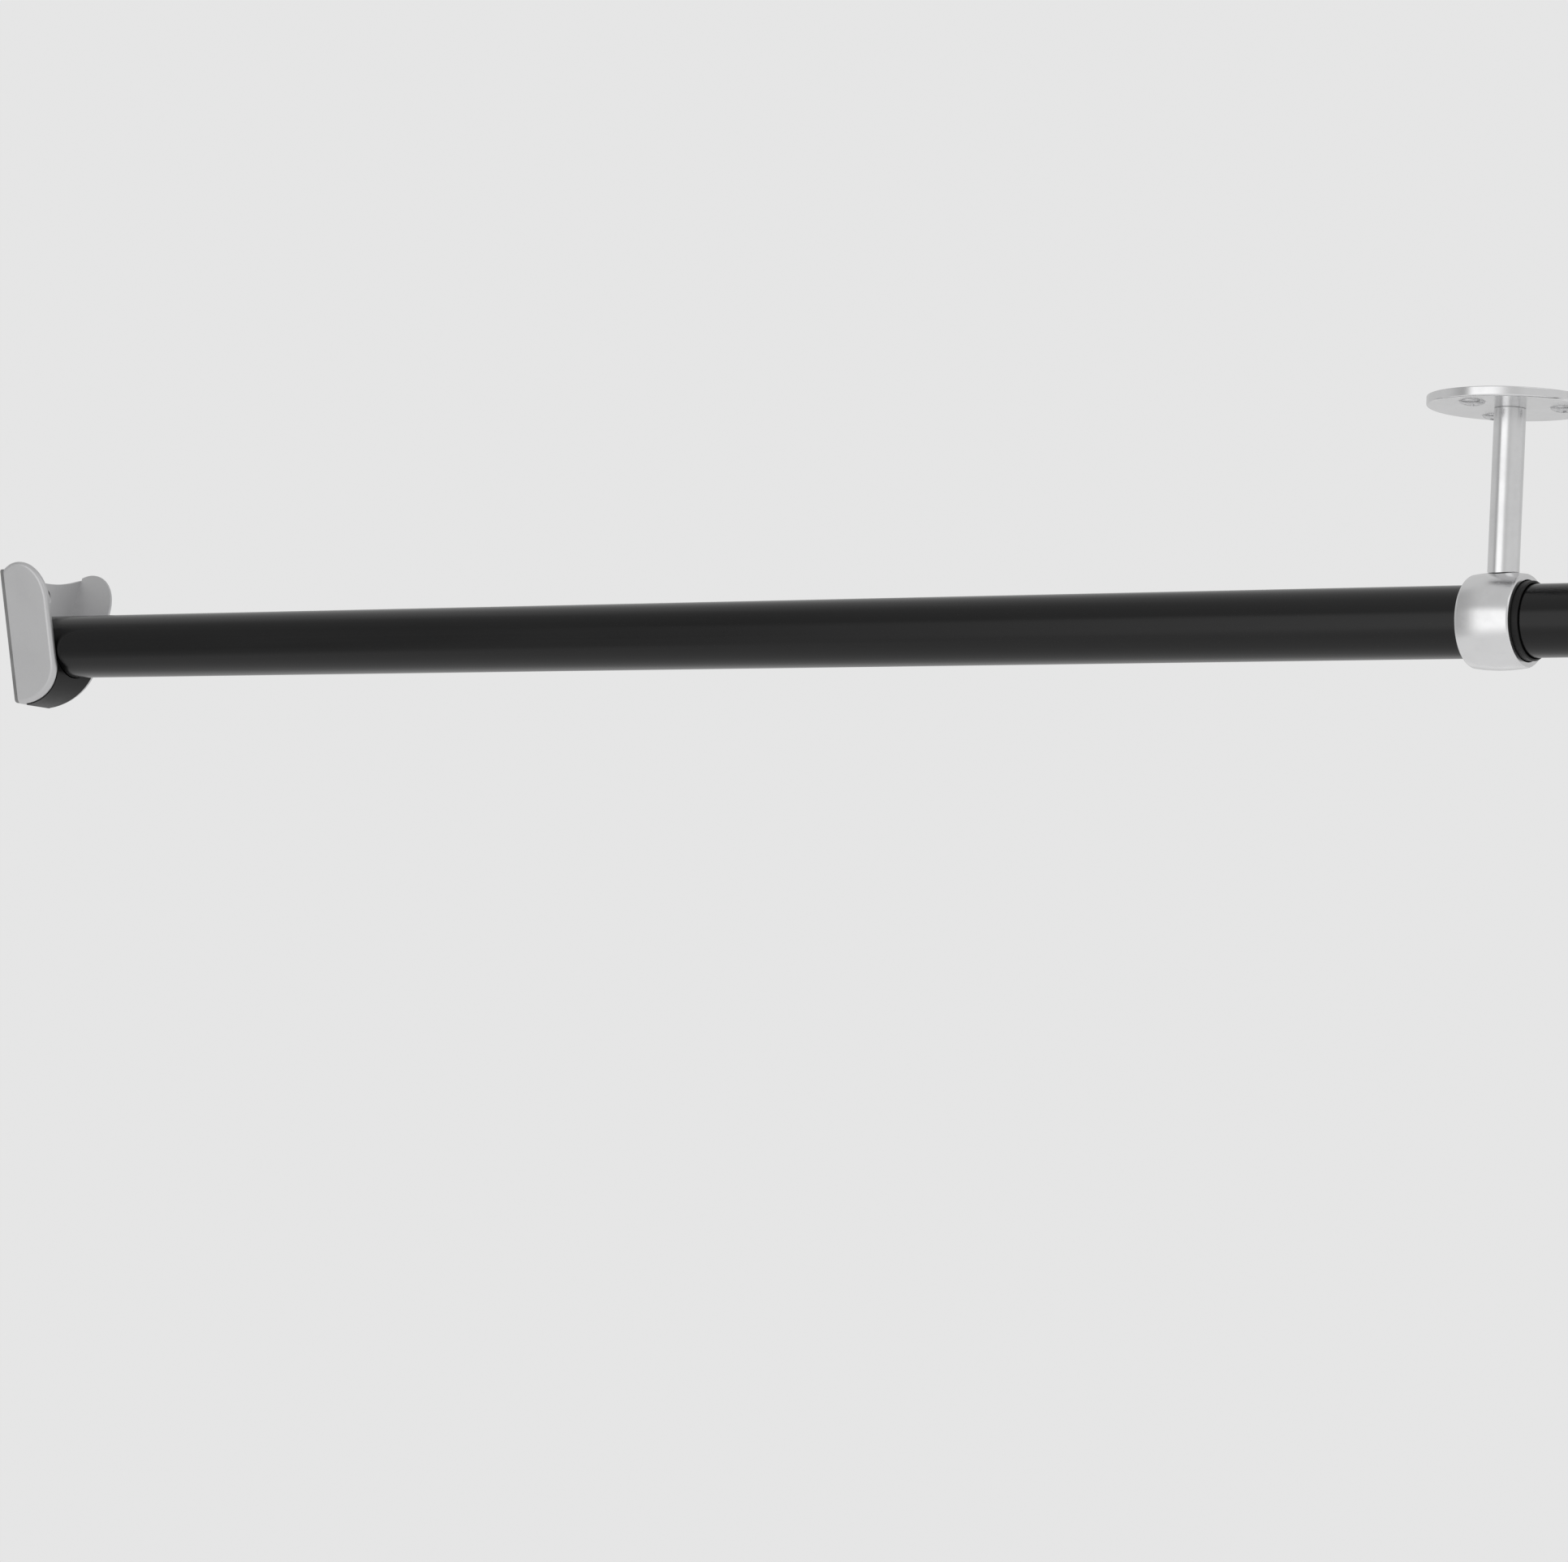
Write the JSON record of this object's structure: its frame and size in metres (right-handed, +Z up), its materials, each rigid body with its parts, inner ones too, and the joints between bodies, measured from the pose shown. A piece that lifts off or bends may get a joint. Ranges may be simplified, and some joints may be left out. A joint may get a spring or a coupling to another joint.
{
  "type": "curtain rod with brackets",
  "caption": "Round black curtain rod carried by open-topped metal sockets on the walls and a polished ring hung from a round ceiling plate.",
  "frame": {"origin": "on the rod's axis, at the face of the left wall, in the middle of the left holder's back", "axes": "+X along the rod from the left wall to the right wall, +Z up towards the ceiling, +Y away from a viewer who has the left wall on the left"},
  "size_m": [1.58, 0.068, 0.12],
  "materials": {
    "black_coating": "satin black powder coat on steel tube",
    "chrome": "polished",
    "satin_nickel": "satin plated",
    "screw_steel": "bright zinc plated",
    "black_plastic": "satin moulded",
    "grey_plastic": "satin moulded"
  },
  "bodies": {
    "brackets": {"left_base_plate": "grey_plastic", "left_socket_shell": "satin_nickel", "left_rod_saddle": "black_plastic", "left_upper_screw": "screw_steel", "left_lower_screw": "screw_steel", "right_base_plate": "grey_plastic", "right_socket_shell": "satin_nickel", "right_rod_saddle": "black_plastic", "right_upper_screw": "screw_steel", "right_lower_screw": "screw_steel", "ceiling_flange": "chrome", "flange_screw_1": "screw_steel", "flange_screw_2": "screw_steel", "flange_screw_3": "screw_steel", "support_post": "chrome", "post_screw": "screw_steel", "support_ring": "chrome", "ring_screw": "screw_steel", "ring_liner": "black_plastic"},
    "rod": {"rod_tube": "black_coating", "left_end_plug": "black_plastic", "right_end_plug": "black_plastic"}
  },
  "joints": [
    {"name": "rod_spin", "type": "hinge", "parent": "brackets", "child": "rod", "pos_m": [0, 0, 0], "axis": [1, 0, 0], "continuous": true}
  ]
}
